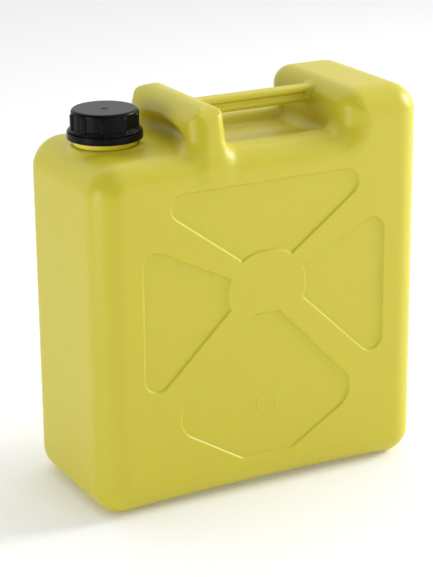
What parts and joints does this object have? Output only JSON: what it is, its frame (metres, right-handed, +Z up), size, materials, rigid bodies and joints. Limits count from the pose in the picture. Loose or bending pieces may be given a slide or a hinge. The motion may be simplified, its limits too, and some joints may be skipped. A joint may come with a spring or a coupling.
{
  "type": "jerry can",
  "caption": "Flat-sided blow-moulded plastic jerry can with a grip bar between two raised posts, pressed cross panels and a ribbed screw cap with tamper band.",
  "frame": {"origin": "middle of the base, on the surface the can stands on", "axes": "+X along the wide side away from the neck, +Y to the back, +Z up"},
  "size_m": [0.36, 0.171, 0.396],
  "materials": {
    "tank_plastic": "semi-matt blow-moulded polyethylene, soft highlights on rounded edges",
    "cap_plastic": "satin injection-moulded black polypropylene",
    "wad_foam": "smooth pale expanded polyethylene wad"
  },
  "bodies": {
    "tank": {"body_shell": "tank_plastic", "handle_bar": "tank_plastic"},
    "cap_wad": {"cap_gasket": "wad_foam"},
    "cap_body": {"cap": "cap_plastic"},
    "tamper_band": {"tamper_ring": "cap_plastic"}
  },
  "joints": [
    {"name": "cap_climb", "type": "slide", "parent": "tank", "child": "cap_wad", "axis": [0, 0, 1], "range_m": [0, 0.0211]},
    {"name": "cap_turn", "type": "hinge", "parent": "cap_wad", "child": "cap_body", "pos_m": [-0.1306, 0, 0.38], "axis": [0, 0, 1], "range_deg": [0, 1260]},
    {"name": "band_turn", "type": "hinge", "parent": "tank", "child": "tamper_band", "pos_m": [-0.1306, 0, 0.3665], "axis": [0, 0, 1], "continuous": true}
  ],
  "couplings": [
    {"joint": "cap_climb", "follows": "cap_turn", "m_per_rad": 0.00095493}
  ]
}
